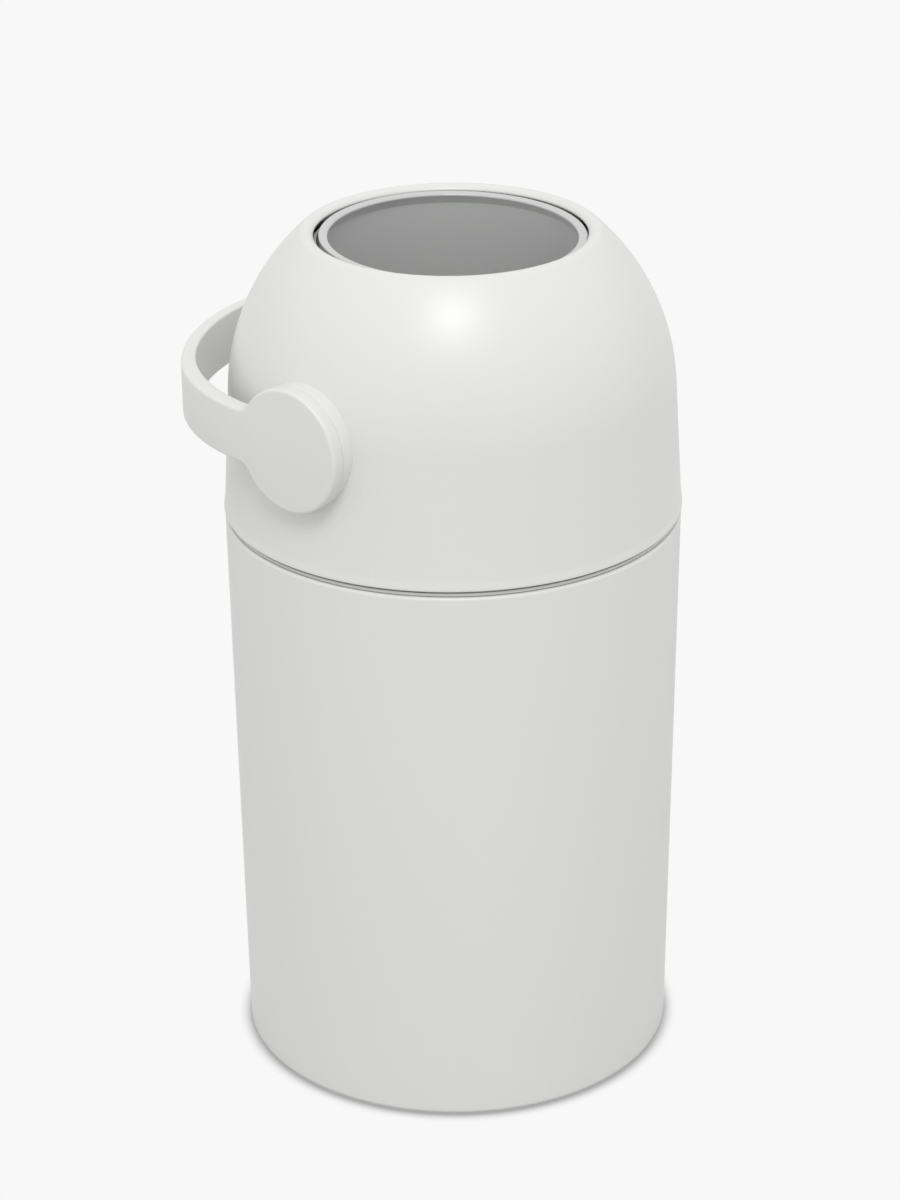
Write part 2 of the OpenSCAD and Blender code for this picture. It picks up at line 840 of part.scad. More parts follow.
module at_piston_screws() {
    for (a = [0, 120, 240]) rotate([0, 0, a]) translate([piston_screw_ring_r, 0, 0]) children();
}

module at_piston() {
    translate([0, 0, pivot_z + piston_mid]) children();
}

module piston_upper() color(rim_grey) at_piston() difference() {
    piston_cup();
    at_piston_screws() translate([0, 0, piston_screw_seat])
        screw_pilot(piston_screw_l + pilot_spare);
}

module piston_lower() color(rim_grey) at_piston() difference() {
    mirror([0, 0, 1]) piston_cup();
    at_piston_screws() {
        translate([0, 0, -far]) cylinder(r = screw_r + hole_gap, h = far + 1);
        translate([0, 0, piston_screw_seat - far]) cylinder(r = head_r + head_gap, h = far);
    }
}

module piston_wiper() color(seal_grey) at_piston()
    ring_band(piston_r - piston_wall - 2 * cup_clamp_w, bore_r - wiper_fit, -wiper_t / 2, wiper_t / 2);

module piston_screws() color(steel) at_piston()
    at_piston_screws() translate([0, 0, piston_screw_seat]) screw(piston_screw_l);

bucket();
bag_ring();
dome();
cradle();
cradle_screws();
lid_gasket();
top_seal();
drop_seal();
pivot_bush_left();
pivot_bush_right();
ball_upper();
ball_lower();
ball_screws();
drum_tube();
mouth_rim_upper();
mouth_rim_lower();
hub_left();
hub_right();
hub_screws();
handle();
handle_screws();
piston_upper();
piston_lower();
piston_wiper();
piston_screws();
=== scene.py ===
"""Looks of a nappy bin with a turn-over drum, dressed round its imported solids.

Lengths in the tables are millimetres; everything in Blender is metres, +Z up.
"""

import json
import math

import bpy
from mathutils import Matrix, Vector


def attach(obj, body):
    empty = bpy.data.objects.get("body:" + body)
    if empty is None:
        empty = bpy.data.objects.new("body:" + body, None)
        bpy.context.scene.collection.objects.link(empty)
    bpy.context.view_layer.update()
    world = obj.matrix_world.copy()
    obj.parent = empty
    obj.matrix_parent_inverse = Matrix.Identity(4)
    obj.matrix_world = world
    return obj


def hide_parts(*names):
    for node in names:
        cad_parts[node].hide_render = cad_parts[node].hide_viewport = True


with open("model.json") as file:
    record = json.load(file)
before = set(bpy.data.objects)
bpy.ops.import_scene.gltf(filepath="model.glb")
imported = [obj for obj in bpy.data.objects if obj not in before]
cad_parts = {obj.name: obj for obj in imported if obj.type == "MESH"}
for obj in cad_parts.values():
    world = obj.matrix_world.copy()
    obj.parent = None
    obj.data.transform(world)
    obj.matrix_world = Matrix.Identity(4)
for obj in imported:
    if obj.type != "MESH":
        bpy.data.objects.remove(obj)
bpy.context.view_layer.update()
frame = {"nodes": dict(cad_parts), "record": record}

MM = 0.001
TURN = 2 * math.pi

# Bucket, with its foot rim and the centre pad under it
BUCKET_R, BUCKET_H, BUCKET_BASE_R, BUCKET_WALL = 130.7, 331.8, 126.1, 2.6
BUCKET_RIM_EASE, BUCKET_FOOT_EASE = 1.9, 3.5
PAD_R, FOOT_INNER_R, UNDER_RECESS, BUCKET_FLOOR = 38.0, 107.1, 1.6, 3.0

# Bag ring: its band shows in the seam, its skirt hangs in the bucket
RING_TOP, RING_R, RING_HOLE_R = 334.9, 129.5, 116.6
SEAT_Z = BUCKET_H + 0.02
GROOVE_R, GROOVE_TOP, BAND_TOP = 128.4, 332.5, 334.2
BAND_INNER_R, TRENCH_R, TRENCH_INNER_R, TRENCH_FLOOR = 129.0, 128.9, 127.5, 333.1
INNER_LIP_FOOT, INNER_LIP_W, LEDGE_Z = 325.4, 2.0, 332.42
SKIRT_FOOT, SKIRT_INNER_R, SKIRT_R = 317.4, 124.9, 126.85

# Dome: a sphere over a slight cone, an eased edge round the opening, a lip at the seam
EDGE_Z, LIP_R = 335.6, 131.3
SPHERE_R, SPHERE_Z, DOME_WALL = 126.9, 402.7, 2.6
CONE_TURN, CONE_FOOT_R = 3.326, 130.7
OPENING_R, BEAD_R, BEAD_IN = 76.7, 5.5, 4.5
LIP_CLEAR_R = 117.0
BOSS_R, BOSS_X, BOSS_HOLE_R, BOSS_WALL, BOSS_ROOT_X = 34.8, 129.01, 14.0, 2.6, 118.0

# Drum: two mouth rims on a tube, turning about the pivot line
PIVOT_Z = 407.0
MOUTH_R, MOUTH_HOLE_R, TUBE_R, BORE_R = 74.8, 69.8, 73.2, 71.4
RIM_TOP, RIM_IN_TOP, RIM_DEPTH, TUBE_HALF = 88.5, 87.0, 10.5, 84.0
DRUM_SWEEP_R = 116.4

# Seals: inner and outer radius, the shell's centre height and radius, and which way they face
TOP_SEAL = 86.8, 91.3, SPHERE_Z, 124.2, 1
DROP_SEAL = 80.0, 84.5, PIVOT_Z, 117.9, -1

# Handle: a disc and a strap in one, standing HANDLE_RISE degrees above its stop
DISC_R, DISC_X, FACE_X = 35.2, 129.31, 137.11
STRAP_HALF, STRAP_START, NECK_R = 15.5, 35.6, 9.0
OUTER_SHOULDER_R, OUTER_CROWN_R, OUTER_END = 109.6, 148.8, 154.1
GRIP_X, GRIP_SHOULDER_R, GRIP_CROWN_R, GRIP_END = 127.31, 109.4, 138.7, 146.6
HANDLE_RISE = 1.0
FACE_EASE, GRIP_EASE, BACK_EASE = 1.7, 1.2, 0.5
BLOCK_DEPTH, BLOCK_HALF, STRAP_REACH = 60.0, 50.0, 180.0
DRIVE_X, DRIVE_L, DRIVE_W = 119.1, 22.2, 13.0

# The mould's slide line beside each boss, in metres
WITNESS_TOP, WITNESS_Y, WITNESS_DRAFT = 0.396, 0.0404, 0.117
HAIRLINE = 0.00022

# Floor and light
PAPER_WHITE = (0.939, 0.939, 0.939, 1)
CONTACT_SHADE = (0.40, 0.40, 0.40, 1)
BOUNCE_GREY = (0.57, 0.57, 0.57, 1)
CONTACT_REACH, CONTACT_GAIN, CONTACT_FADE = 0.0088, 1.9, 1.6
SKY_STRENGTH = 0.82
LAMP_STRENGTH, LAMP_SPREAD, LAMP_AZIMUTH, LAMP_ELEVATION = 1.12, 22, -48, 57

# Camera: its lens in millimetres, its place in metres and its axes
LENS = 106.01
CAMERA_PLACE = Vector((-1.411843, -1.227296, 1.124510))
RIGHT_WAY = Vector((0.6540942, -0.7563662, -0.0084276))
DOWN_WAY = Vector((-0.3188578, -0.2656060, -0.9098259))
AHEAD = Vector((0.6859231, 0.5977990, -0.4149046))


# ---- modelling ----


def nothing_selected():
    bpy.ops.object.select_all(action="DESELECT")


def pick(piece):
    """Select one piece alone and make it active."""
    nothing_selected()
    piece.select_set(True)
    bpy.context.view_layer.objects.active = piece


def finish_mesh(piece, smooth=35, outward=True):
    """Leave a piece at the origin, merged, facing outwards and smoothly shaded."""
    if bpy.context.mode != "OBJECT":
        bpy.ops.object.mode_set(mode="OBJECT")
    pick(piece)
    bpy.ops.object.transform_apply(location=True, rotation=True, scale=True)
    bpy.ops.object.mode_set(mode="EDIT")
    bpy.ops.mesh.select_all(action="SELECT")
    bpy.ops.mesh.remove_doubles(threshold=0.000002)
    if outward:
        bpy.ops.mesh.normals_make_consistent(inside=False)
    bpy.ops.object.mode_set(mode="OBJECT")
    bpy.ops.object.shade_smooth_by_angle(angle=math.radians(smooth))
    return piece


def start_line(name, point):
    """A new mesh of a single vertex, in edit mode and selected."""
    nothing_selected()
    bpy.ops.mesh.primitive_plane_add(size=0.001, location=point)
    piece = bpy.context.object
    piece.name = name
    piece.data.name = name
    bpy.ops.object.mode_set(mode="EDIT")
    bpy.ops.mesh.select_all(action="SELECT")
    bpy.ops.mesh.merge(type="CENTER")
    return piece


def draw_line(points):
    """Extrude the selected vertex from point to point."""
    for a, b in zip(points, points[1:]):
        bpy.ops.mesh.extrude_region_move(
            TRANSFORM_OT_translate={"value": tuple(Vector(b) - Vector(a))}
        )


def arc(centre, radius, start, end, steps):
    """Points of an arc in the section plane, angles in degrees."""
    points = []
    for i in range(steps + 1):
        a = math.radians(start + (end - start) * i / steps)
        points.append((centre[0] + radius * math.cos(a), centre[1] + radius * math.sin(a)))
    return points


def eased(corners, steps=5, closed=True):
    """An outline whose corners (x, y, radius) are rounded; a plain (x, y) stays sharp."""
    outline = []
    count = len(corners)
    for i, corner in enumerate(corners):
        here = Vector(corner[:2])
        radius = corner[2] if len(corner) > 2 else 0
        ends = not closed and i in (0, count - 1)
        if radius <= 0 or ends:
            outline.append(tuple(here))
            continue
        to_last = (Vector(corners[i - 1][:2]) - here).normalized()
        to_next = (Vector(corners[(i + 1) % count][:2]) - here).normalized()
        half = math.acos(max(-1, min(1, to_last.dot(to_next)))) / 2
        reach = radius / math.tan(half)
        centre = here + (to_last + to_next).normalized() * (radius / math.sin(half))
        a, b = here + to_last * reach - centre, here + to_next * reach - centre
        first = math.atan2(a.y, a.x)
        sweep = (math.atan2(b.y, b.x) - first + math.pi) % TURN - math.pi
        for k in range(steps + 1):
            t = first + sweep * k / steps
            outline.append((centre.x + radius * math.cos(t), centre.y + radius * math.sin(t)))
    return outline


def turned(name, outline, axis="Z", height=0, side=1, steps=192, closed=True, smooth=35):
    """Spin an outline of (radius, distance along the axis) into a round piece."""
    if closed:
        outline = outline + outline[:1]
    if axis == "Z":
        points = [(r * MM, 0, (h + height) * MM) for r, h in outline]
        spin_axis, centre = (0, 0, 1), (0, 0, 0)
    else:
        points = [(side * h * MM, r * MM, height * MM) for r, h in outline]
        spin_axis, centre = (1, 0, 0), (0, 0, height * MM)
    piece = start_line(name, points[0])
    draw_line(points)
    bpy.ops.mesh.select_all(action="SELECT")
    bpy.ops.mesh.remove_doubles(threshold=0.000001)
    bpy.ops.mesh.spin(steps=steps, angle=TURN, center=centre, axis=spin_axis)
    return finish_mesh(piece, smooth)


def slab(name, outline, plane, low, high):
    """Fill a closed outline and extrude it: plane XY rises along Z, plane YZ runs along X."""
    def place(p):
        a, b, start = p[0] * MM, p[1] * MM, low * MM
        return (a, b, start) if plane == "XY" else (start, a, b)

    points = [place(p) for p in outline]
    piece = start_line(name, points[0])
    draw_line(points + points[:1])
    bpy.ops.mesh.select_all(action="SELECT")
    bpy.ops.mesh.remove_doubles(threshold=0.000001)
    bpy.ops.mesh.edge_face_add()
    way = (0, 0, (high - low) * MM) if plane == "XY" else ((high - low) * MM, 0, 0)
    bpy.ops.mesh.extrude_region_move(TRANSFORM_OT_translate={"value": way})
    return finish_mesh(piece)


def joined(piece, others, operation="UNION"):
    """Boolean other pieces into one, and delete them."""
    for other in others:
        pick(piece)
        cut = piece.modifiers.new("join", "BOOLEAN")
        cut.operation = operation
        cut.solver = "EXACT"
        cut.object = other
        bpy.ops.object.modifier_apply(modifier=cut.name)
        bpy.data.objects.remove(other)
    return piece


def dress(piece, body, nodes, finish):
    """Give a new piece its body and its material, and hide the nodes it stands for."""
    piece.data.materials.clear()
    piece.data.materials.append(finish)
    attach(piece, body)
    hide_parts(*nodes)
    return piece


# ---- materials ----


class Wire:
    """An output socket; arithmetic on it adds Math nodes."""

    def __init__(self, finish, socket):
        self.finish = finish
        self.socket = socket

    def math(self, operation, a, b):
        return self.finish.node("ShaderNodeMath", {"operation": operation}, {0: a, 1: b})

    def __add__(self, other):
        return self.math("ADD", self, other)

    __radd__ = __add__

    def __mul__(self, other):
        return self.math("MULTIPLY", self, other)

    __rmul__ = __mul__

    def __sub__(self, other):
        return self.math("SUBTRACT", self, other)

    def __rsub__(self, other):
        return self.math("SUBTRACT", other, self)

    def __lt__(self, other):
        return self.math("LESS_THAN", self, other)

    def __gt__(self, other):
        return self.math("GREATER_THAN", self, other)


class Finish:
    """A procedural material; every node comes from node()."""

    def __init__(self, name):
        self.material = bpy.data.materials.new(name)
        self.material.use_nodes = True
        self.tree = self.material.node_tree
        self.tree.nodes.clear()
        self.place = self.node("ShaderNodeTexCoord", output="Object")

    def node(self, kind, settings=None, inputs=None, output=0):
        made = self.tree.nodes.new(kind)
        for key, value in (settings or {}).items():
            setattr(made, key, value)
        for key, value in (inputs or {}).items():
            if isinstance(value, Wire):
                self.tree.links.new(value.socket, made.inputs[key])
            else:
                made.inputs[key].default_value = value
        return made if output is None else Wire(self, made.outputs[output])

    def noise(self, scale, detail=2.0, stretch=(1, 1, 1)):
        place = self.node("ShaderNodeMapping", None, {"Vector": self.place, "Scale": stretch})
        return self.node(
            "ShaderNodeTexNoise", None, {"Vector": place, "Scale": scale, "Detail": detail}
        )

    def math_of(self, operation, *values):
        return self.node("ShaderNodeMath", {"operation": operation}, dict(enumerate(values)))

    def mix(self, amount, a, b):
        """Blend two colours."""
        return self.node(
            "ShaderNodeMix", {"data_type": "RGBA"}, {0: amount, 6: a, 7: b}, output=2
        )

    def bump(self, height, strength):
        """Relief from a height in metres."""
        inputs = {"Strength": strength, "Distance": 1.0, "Height": height}
        return self.node("ShaderNodeBump", None, inputs, output="Normal")

    def surface(self, **sockets):
        shader = self.node("ShaderNodeBsdfPrincipled", None, sockets)
        self.node("ShaderNodeOutputMaterial", None, {"Surface": shader}, output=None)
        return self.material


def shade(colour, factor):
    return tuple(min(1, c * factor) for c in colour) + (1,)


def moulded(name, colour, gloss, grain=0.00002, flow=0.015, witness_and_highlight=False):
    """Moulded plastic: spark-eroded grain, faint flow marks, uneven gloss, fine dust."""
    skin = Finish(name)
    flow_marks = skin.noise(9, 3, (1, 1, 0.35))
    pores = skin.noise(1400, 2)
    wiped = skin.noise(38, 4)
    dust = skin.noise(620, 1) > 0.735
    tint = skin.mix(flow_marks, shade(colour, 1 - flow), shade(colour, 1 + flow))
    tint = skin.mix(dust * 0.10, tint, shade(colour, 0.82))
    rough = gloss + (wiped - 0.5) * 0.10 + (pores - 0.5) * 0.06
    height = pores * grain
    if witness_and_highlight:
        line = slide_witness(skin)
        # The witness line is real relief in the bump; its lighter tint is a painted highlight
        # along the ridge.
        tint = skin.mix(line * 0.5, tint, shade(colour, 1.16))
        height = height + line * 0.00012
    return skin.surface(
        **{"Base Color": tint, "Roughness": rough, "Normal": skin.bump(height, 0.6)}
    )


def slide_witness(skin):
    """Hairline round each boss, where the mould's side slides met the dome; its mask carries a
    real bump and a painted highlight.
    """
    split = skin.node("ShaderNodeSeparateXYZ", None, {"Vector": skin.place}, output=None)
    across = skin.math_of("ABSOLUTE", Wire(skin, split.outputs[1]))
    height = Wire(skin, split.outputs[2])
    edge = WITNESS_Y + (WITNESS_TOP - height) * WITNESS_DRAFT
    below = height < WITNESS_TOP
    upright = (skin.math_of("ABSOLUTE", across - edge) < HAIRLINE) * below
    level = (skin.math_of("ABSOLUTE", height - WITNESS_TOP) < HAIRLINE) * (across < edge)
    return skin.math_of("MAXIMUM", upright, level)


def rubber(name, colour):
    skin = Finish(name)
    bloom = skin.noise(60, 4)
    specks = skin.noise(900, 2)
    tint = skin.mix(bloom, shade(colour, 0.85), shade(colour, 1.18))
    rough = 0.62 + bloom * 0.2
    return skin.surface(
        **{"Base Color": tint, "Roughness": rough, "Normal": skin.bump(specks * 0.00004, 0.5)}
    )


def zinc_steel(name, colour):
    skin = Finish(name)
    spangle = skin.noise(500, 2)
    lines = skin.noise(2600, 1, (1, 1, 0.05))
    tint = skin.mix(spangle, shade(colour, 0.8), shade(colour, 1.1))
    rough = 0.3 + spangle * 0.15
    bump = skin.bump(lines * 0.00002, 0.4)
    return skin.surface(
        **{"Base Color": tint, "Metallic": 1.0, "Roughness": rough, "Normal": bump}
    )


WHITE = (0.735, 0.735, 0.724)
SATIN_WHITE = (0.735, 0.735, 0.72)
LIGHT_GREY = (0.55, 0.555, 0.55)
# The bore is the rims' light-grey plastic, set a little darker as painted shade inside the tube.
BORE_GREY_SHADED = (0.535, 0.543, 0.535)
BAND_GREY = (0.60, 0.605, 0.595)

dome_white = moulded("dome_white", WHITE, 0.35, witness_and_highlight=True)
bucket_white = moulded("bucket_white", WHITE, 0.40)
handle_white = moulded("handle_white", SATIN_WHITE, 0.36)
rim_grey = moulded("rim_grey", LIGHT_GREY, 0.14, grain=0.000004)
# Bore material: its own light grey plus a little painted shade.
bore_grey = moulded("bore_grey", BORE_GREY_SHADED, 0.30, grain=0.000008)
band_grey = moulded("band_grey", BAND_GREY, 0.5)
inner_white = moulded("inner_white", (0.60, 0.60, 0.58), 0.5)
slick_white = moulded("slick_white", (0.72, 0.72, 0.66), 0.35, grain=0.00001)
seal_rubber = rubber("seal_rubber", (0.05, 0.052, 0.052))
screw_steel = zinc_steel("screw_steel", (0.56, 0.57, 0.58))

SLOT_FINISH = {
    "shell": bucket_white,
    "handle": handle_white,
    "rim": rim_grey,
    "bore": bore_grey,
    "ring": band_grey,
    "inner": inner_white,
    "bush": slick_white,
    "seal": seal_rubber,
    "screw": screw_steel,
}
for part in frame["record"]["subparts"]:
    node = frame["nodes"][part["node"]]
    node.data.materials.clear()
    node.data.materials.append(SLOT_FINISH[part["material_slot"]])


# ---- bucket and bag ring ----

bucket = turned(
    "bucket_shell",
    eased(
        [
            (0, 0),
            (PAD_R, 0, 0.6),
            (PAD_R + 0.6, UNDER_RECESS, 0.6),
            (FOOT_INNER_R - 0.6, UNDER_RECESS, 0.6),
            (FOOT_INNER_R, 0, 0.8),
            (BUCKET_BASE_R, 0, BUCKET_FOOT_EASE),
            (BUCKET_R, BUCKET_H, BUCKET_RIM_EASE),
            (BUCKET_R - BUCKET_WALL, BUCKET_H, 0.6),
            (BUCKET_BASE_R - BUCKET_WALL, BUCKET_FLOOR, 3.4),
            (0, BUCKET_FLOOR),
        ],
        steps=8,
        closed=False,
    ),
    closed=False,
    smooth=40,
)
dress(bucket, "base", ["bucket"], bucket_white)

bag_ring = turned(
    "bag_ring_band",
    eased(
        [
            (GROOVE_R, SEAT_Z),
            (GROOVE_R, GROOVE_TOP, 0.2),
            (RING_R, GROOVE_TOP, 0.25),
            (RING_R, BAND_TOP, 0.3),
            (BAND_INNER_R, BAND_TOP, 0.15),
            (TRENCH_R, TRENCH_FLOOR, 0.2),
            (TRENCH_INNER_R, TRENCH_FLOOR, 0.2),
            (TRENCH_INNER_R - 0.1, RING_TOP, 0.2),
            (RING_HOLE_R, RING_TOP, 0.6),
            (RING_HOLE_R, INNER_LIP_FOOT, 0.5),
            (RING_HOLE_R + INNER_LIP_W, INNER_LIP_FOOT, 0.5),
            (RING_HOLE_R + INNER_LIP_W, LEDGE_Z, 0.6),
            (SKIRT_INNER_R, LEDGE_Z, 0.6),
            (SKIRT_INNER_R, SKIRT_FOOT, 0.6),
            (SKIRT_R, SKIRT_FOOT, 0.6),
            (SKIRT_R, SEAT_Z, 0.3),
        ],
        steps=4,
    ),
)
dress(bag_ring, "ring", ["bag_ring"], band_grey)


# ---- dome ----

bead_r_out = OPENING_R + BEAD_IN
bead_z = SPHERE_Z + math.sqrt((SPHERE_R - BEAD_R) ** 2 - bead_r_out ** 2)
bead = (bead_r_out, bead_z)
bead_turn = math.degrees(math.atan2(bead_z - SPHERE_Z, bead_r_out))
bead_end = 180 - math.degrees(math.acos(BEAD_IN / BEAD_R))
edge_top = bead_z + math.sqrt(BEAD_R ** 2 - BEAD_IN ** 2)
lip_turn = math.degrees(math.acos(OPENING_R / LIP_CLEAR_R))
inner_r = SPHERE_R - DOME_WALL
dome_outline = (
    eased(
        [
            (CONE_FOOT_R - DOME_WALL, EDGE_Z, 0.4),
            (LIP_R, EDGE_Z, 0.7),
            (LIP_R - 0.1, EDGE_Z + 1.6, 3.0),
            (CONE_FOOT_R - 0.1, EDGE_Z + 5.2, 8.0),
            (CONE_FOOT_R - 0.35, EDGE_Z + 8.5),
        ],
        steps=4,
        closed=False,
    )
    + arc((0, SPHERE_Z), SPHERE_R, CONE_TURN, bead_turn, 44)
    + arc(bead, BEAD_R, bead_turn + 4, bead_end - 3, 18)
    + [(OPENING_R + 0.06, edge_top - 0.02), (OPENING_R, edge_top - 0.14)]
    + arc((0, PIVOT_Z), LIP_CLEAR_R, lip_turn, lip_turn - 8, 6)
    + arc((0, SPHERE_Z), inner_r, bead_turn - 4, CONE_TURN, 36)
    + [(CONE_FOOT_R - DOME_WALL - 0.2, EDGE_Z + 8)]
)
dome = turned("dome_shell", dome_outline, steps=256)
for side in (-1, 1):
    boss = turned(
        "boss",
        eased(
            [
                (BOSS_R, BOSS_ROOT_X),
                (BOSS_R, BOSS_X, 0.7),
                (BOSS_HOLE_R, BOSS_X, 0.3),
                (BOSS_HOLE_R, BOSS_X - BOSS_WALL),
                (BOSS_R - BOSS_WALL, BOSS_X - BOSS_WALL),
                (BOSS_R - BOSS_WALL, BOSS_ROOT_X),
            ]
        ),
        axis="X",
        height=PIVOT_Z,
        side=side,
        steps=160,
    )
    joined(dome, [boss])
finish_mesh(dome, 30, outward=False)
dress(dome, "lid", ["dome"], dome_white)


# ---- drum's mouth rims and tube ----


def raised(piece, beyond=0):
    """Turn a drum piece about the pivot with the handle, or only its ends beyond a height."""
    pick(piece)
    bpy.ops.object.mode_set(mode="EDIT")
    bpy.ops.mesh.select_mode(type="VERT")
    bpy.ops.mesh.select_all(action="DESELECT")
    bpy.ops.object.mode_set(mode="OBJECT")
    for vertex in piece.data.vertices:
        vertex.select = abs(vertex.co.z / MM - PIVOT_Z) >= beyond
    bpy.ops.object.mode_set(mode="EDIT")
    bpy.ops.transform.rotate(
        value=-math.radians(HANDLE_RISE), orient_axis="X", center_override=(0, 0, PIVOT_Z * MM)
    )
    return finish_mesh(piece, 50)


for name, node, way in (("rim_top", "mouth_rim_upper", 1), ("rim_bottom", "mouth_rim_lower", -1)):
    section = eased(
        [
            (MOUTH_HOLE_R, RIM_IN_TOP),
            (MOUTH_HOLE_R, RIM_IN_TOP + 1.0, 0.95),
            (MOUTH_R, RIM_TOP, 0.45),
            (MOUTH_R, RIM_TOP - RIM_DEPTH, 0.4),
            (TUBE_R + 0.3, RIM_TOP - RIM_DEPTH, 0.3),
            (TUBE_R + 0.3, RIM_IN_TOP),
        ],
        steps=8,
    )
    rim = turned(name, [(r, way * h) for r, h in section], height=PIVOT_Z, smooth=50)
    raised(rim)
    dress(rim, "drum", [node], rim_grey)

tube_end = RIM_IN_TOP - 0.03
bore_end = TUBE_HALF - 1.15
tube = turned(
    "bore_tube",
    eased(
        [
            (BORE_R, -bore_end, 2.5),
            (MOUTH_HOLE_R + 0.05, -tube_end),
            (TUBE_R, -tube_end, 0.4),
            (TUBE_R, tube_end, 0.4),
            (MOUTH_HOLE_R + 0.05, tube_end),
            (BORE_R, bore_end, 2.5),
        ],
        steps=3,
    ),
    height=PIVOT_Z,
    smooth=50,
)
raised(tube, beyond=RIM_IN_TOP - 1)
dress(tube, "drum", ["drum_tube"], bore_grey)


# ---- seals round the drum ----


def seal(name, node, inner_r, outer_r, shell_z, shell_r, way):
    """Soft ring between a shell (a sphere about shell_z) and the sphere that the drum sweeps."""
    def near(r):
        return PIVOT_Z + way * math.sqrt(DRUM_SWEEP_R ** 2 - r ** 2)

    def far(r):
        return shell_z + way * math.sqrt(shell_r ** 2 - r ** 2)

    section = [
        (inner_r, near(inner_r), 0.4),
        (inner_r, far(inner_r), 0.3),
        (outer_r, far(outer_r), 0.3),
        (outer_r, near(outer_r), 0.4),
    ]
    ring = turned(name, eased(section, steps=3), smooth=50)
    dress(ring, "lid", [node], seal_rubber)


seal("top_seal_ring", "top_seal", *TOP_SEAL)
seal("drop_seal_ring", "drop_seal", *DROP_SEAL)


# ---- handle ----


def bail(half_w, shoulder_r, crown_r, end, step=3):
    """Right half of the strap's plan: shoulder arc, then crown arc to the middle."""
    sx, crown_y = half_w - shoulder_r, end - crown_r
    sy = crown_y + math.sqrt((crown_r - shoulder_r) ** 2 - sx ** 2)
    turn = math.degrees(math.atan2(sy - crown_y, sx))
    shoulder = arc((sx, sy), shoulder_r, 0, turn, round(turn / step))
    return shoulder + arc((0, crown_y), crown_r, turn, 90, round((90 - turn) / step))[1:]


def both_halves(right):
    return right + [(-x, y) for x, y in reversed(right)][1:]


def select_edges(piece, wanted):
    """In edit mode, select the sharp edges whose two ends pass a test on their place."""
    bpy.ops.mesh.select_all(action="DESELECT")
    bpy.ops.mesh.select_mode(type="EDGE")
    bpy.ops.mesh.edges_select_sharp(sharpness=math.radians(40))
    bpy.ops.object.mode_set(mode="OBJECT")
    spots = [vertex.co / MM for vertex in piece.data.vertices]
    for edge in piece.data.edges:
        edge.select = edge.select and all(wanted(spots[i]) for i in edge.vertices)
    for face in piece.data.polygons:
        face.select = False
    chosen = {i for edge in piece.data.edges if edge.select for i in edge.vertices}
    for vertex in piece.data.vertices:
        vertex.select = vertex.index in chosen
    bpy.ops.object.mode_set(mode="EDIT")
    bpy.ops.mesh.select_mode(type="EDGE")


outer = bail(FACE_X, OUTER_SHOULDER_R, OUTER_CROWN_R, OUTER_END)
grip = [p for p in bail(GRIP_X, GRIP_SHOULDER_R, GRIP_CROWN_R, GRIP_END) if p[1] > STRAP_START]
block = both_halves([(FACE_X, -BLOCK_DEPTH)] + outer)
hollow = both_halves(
    [(DISC_X, -BLOCK_DEPTH - 20), (DISC_X, STRAP_START), (GRIP_X, STRAP_START)] + grip
)

neck_reach = DISC_R + NECK_R
neck_z = STRAP_HALF + NECK_R
neck_y = math.sqrt(neck_reach ** 2 - neck_z ** 2)
neck_turn = math.degrees(math.atan2(neck_z, neck_y))
neck = arc((neck_y, neck_z), NECK_R, 270, 180 + neck_turn, 8)
silhouette = (
    [(STRAP_REACH, -STRAP_HALF), (STRAP_REACH, STRAP_HALF)]
    + neck
    + arc((0, 0), DISC_R, neck_turn, 360 - neck_turn, 110)[1:-1]
    + [(y, -z) for y, z in reversed(neck)]
)
handle = slab("bail_handle", block, "XY", PIVOT_Z - BLOCK_HALF, PIVOT_Z + BLOCK_HALF)
inside = slab("inside", hollow, "XY", PIVOT_Z - BLOCK_HALF - 10, PIVOT_Z + BLOCK_HALF + 10)
up, over = math.cos(math.radians(HANDLE_RISE)), math.sin(math.radians(HANDLE_RISE))
silhouette = [(y * up - z * over, y * over + z * up + PIVOT_Z) for y, z in silhouette]
side_view = slab("side_view", silhouette, "YZ", -150, 150)
joined(handle, [inside], "DIFFERENCE")
joined(handle, [side_view], "INTERSECT")


def on_outside(spot):
    """On the disc's face or the strap's outer wall."""
    across, y = abs(spot.x), spot.y
    if y < outer[0][1] + 0.01:
        return across > FACE_X - 0.01
    shoulder = math.hypot(across - FACE_X + OUTER_SHOULDER_R, y - outer[0][1])
    crown = math.hypot(across, y - OUTER_END + OUTER_CROWN_R)
    return min(abs(shoulder - OUTER_SHOULDER_R), abs(crown - OUTER_CROWN_R)) < 0.12


def on_grip(spot):
    return spot.y > STRAP_START + 0.5 and not on_outside(spot)


def on_disc_back(spot):
    return spot.y < STRAP_START + 0.1 and abs(spot.x) < DISC_X + 0.01


pick(handle)
bpy.ops.object.mode_set(mode="EDIT")
bpy.ops.mesh.select_all(action="SELECT")
bpy.ops.mesh.remove_doubles(threshold=0.00002)
bpy.ops.mesh.dissolve_limited(angle_limit=math.radians(0.5))
eases = ((on_outside, FACE_EASE, 5), (on_grip, GRIP_EASE, 4), (on_disc_back, BACK_EASE, 3))
for chosen, radius, segments in eases:
    select_edges(handle, chosen)
    bpy.ops.mesh.bevel(offset=radius * MM, segments=segments, affect="EDGES", clamp_overlap=False)
bpy.ops.object.mode_set(mode="OBJECT")
for side in (-1, 1):
    nothing_selected()
    bpy.ops.mesh.primitive_cube_add(
        size=1,
        location=(side * DRIVE_X * MM, 0, PIVOT_Z * MM),
        scale=(DRIVE_L * MM, DRIVE_W * MM, DRIVE_W * MM),
    )
    drive = finish_mesh(bpy.context.object)
    joined(handle, [drive])
finish_mesh(handle, 32)
dress(handle, "drum", ["handle"], handle_white)


# ---- floor, light and camera ----


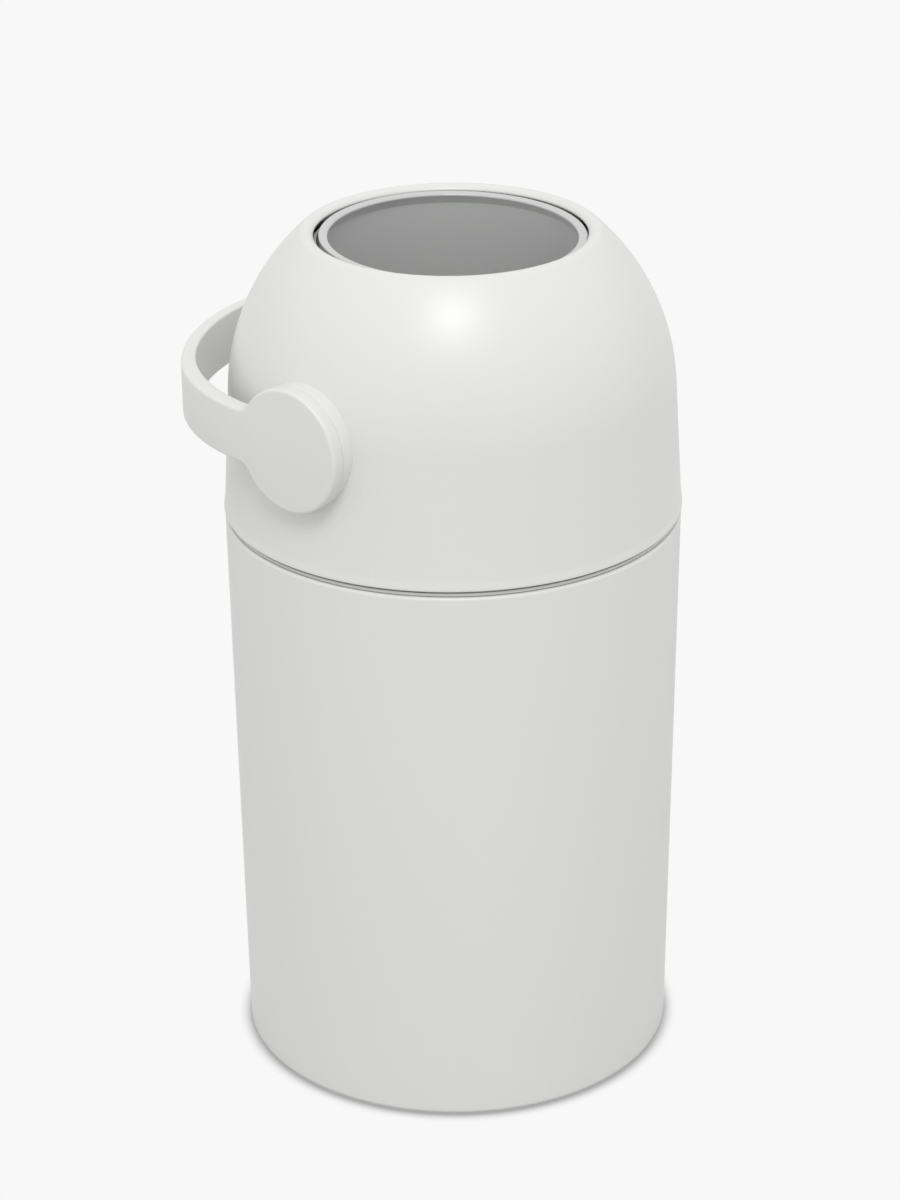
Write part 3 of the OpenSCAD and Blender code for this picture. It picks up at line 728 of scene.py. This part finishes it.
def pale_floor():
    """Studio paper with a contact shadow; to the bin it is a grey that bounces less light."""
    paper = Finish("studio_paper")
    look = paper.node("ShaderNodeLightPath", output=None)
    seen = paper.math_of("MAXIMUM", Wire(paper, look.outputs[0]), Wire(paper, look.outputs[3]))
    open_share = paper.node(
        "ShaderNodeAmbientOcclusion", {"samples": 8}, {"Distance": CONTACT_REACH}, output=1
    )
    hidden = paper.math_of("MINIMUM", (1 - open_share) * CONTACT_GAIN, 1)
    shadow = paper.math_of("POWER", hidden, CONTACT_FADE)
    bright = paper.node("ShaderNodeEmission", None, {"Color": PAPER_WHITE})
    dark = paper.node("ShaderNodeEmission", None, {"Color": CONTACT_SHADE})
    dull = paper.node("ShaderNodeBsdfDiffuse", None, {"Color": BOUNCE_GREY})
    front = paper.node("ShaderNodeMixShader", None, {0: shadow, 1: bright, 2: dark})
    both = paper.node("ShaderNodeMixShader", None, {0: seen, 1: dull, 2: front})
    paper.node("ShaderNodeOutputMaterial", None, {"Surface": both}, output=None)
    return paper.material


nothing_selected()
bpy.ops.mesh.primitive_plane_add(size=16, location=(0, 0, 0))
floor = bpy.context.object
floor.name = "floor"
floor.data.materials.append(pale_floor())

scene = bpy.context.scene
world = bpy.data.worlds.new("studio")
scene.world = world
world.use_nodes = True
sky = world.node_tree
light_on_bin = sky.nodes["Background"]
light_on_bin.inputs["Color"].default_value = (1, 1, 1, 1)
light_on_bin.inputs["Strength"].default_value = SKY_STRENGTH
backdrop = sky.nodes.new("ShaderNodeBackground")
backdrop.inputs["Color"].default_value = PAPER_WHITE
look = sky.nodes.new("ShaderNodeLightPath")
split = sky.nodes.new("ShaderNodeMixShader")
sky.links.new(look.outputs["Is Camera Ray"], split.inputs[0])
sky.links.new(light_on_bin.outputs[0], split.inputs[1])
sky.links.new(backdrop.outputs[0], split.inputs[2])
sky.links.new(split.outputs[0], sky.nodes["World Output"].inputs["Surface"])


def soft_sun(name, strength, spread, azimuth, elevation):
    """A broad lamp; azimuth 0 stands in front (-Y), 90 on the +X side."""
    lamp = bpy.data.lights.new(name, "SUN")
    lamp.energy = strength
    lamp.angle = math.radians(spread)
    stand = bpy.data.objects.new(name, lamp)
    scene.collection.objects.link(stand)
    a, e = math.radians(azimuth), math.radians(elevation)
    back = Vector((math.sin(a) * math.cos(e), -math.cos(a) * math.cos(e), math.sin(e)))
    stand.rotation_mode = "QUATERNION"
    stand.rotation_quaternion = (-back).to_track_quat("-Z", "Y")


soft_sun("overhead", LAMP_STRENGTH, LAMP_SPREAD, LAMP_AZIMUTH, LAMP_ELEVATION)

camera_data = bpy.data.cameras.new("camera")
camera_data.sensor_width = 36
camera_data.lens = LENS
camera_data.clip_start = 0.1
camera_data.clip_end = 50
camera = bpy.data.objects.new("camera", camera_data)
scene.collection.objects.link(camera)
camera.matrix_world = Matrix(
    [(RIGHT_WAY[i], -DOWN_WAY[i], -AHEAD[i], CAMERA_PLACE[i]) for i in range(3)] + [(0, 0, 0, 1)]
)
scene.camera = camera
scene.view_settings.view_transform = "Standard"
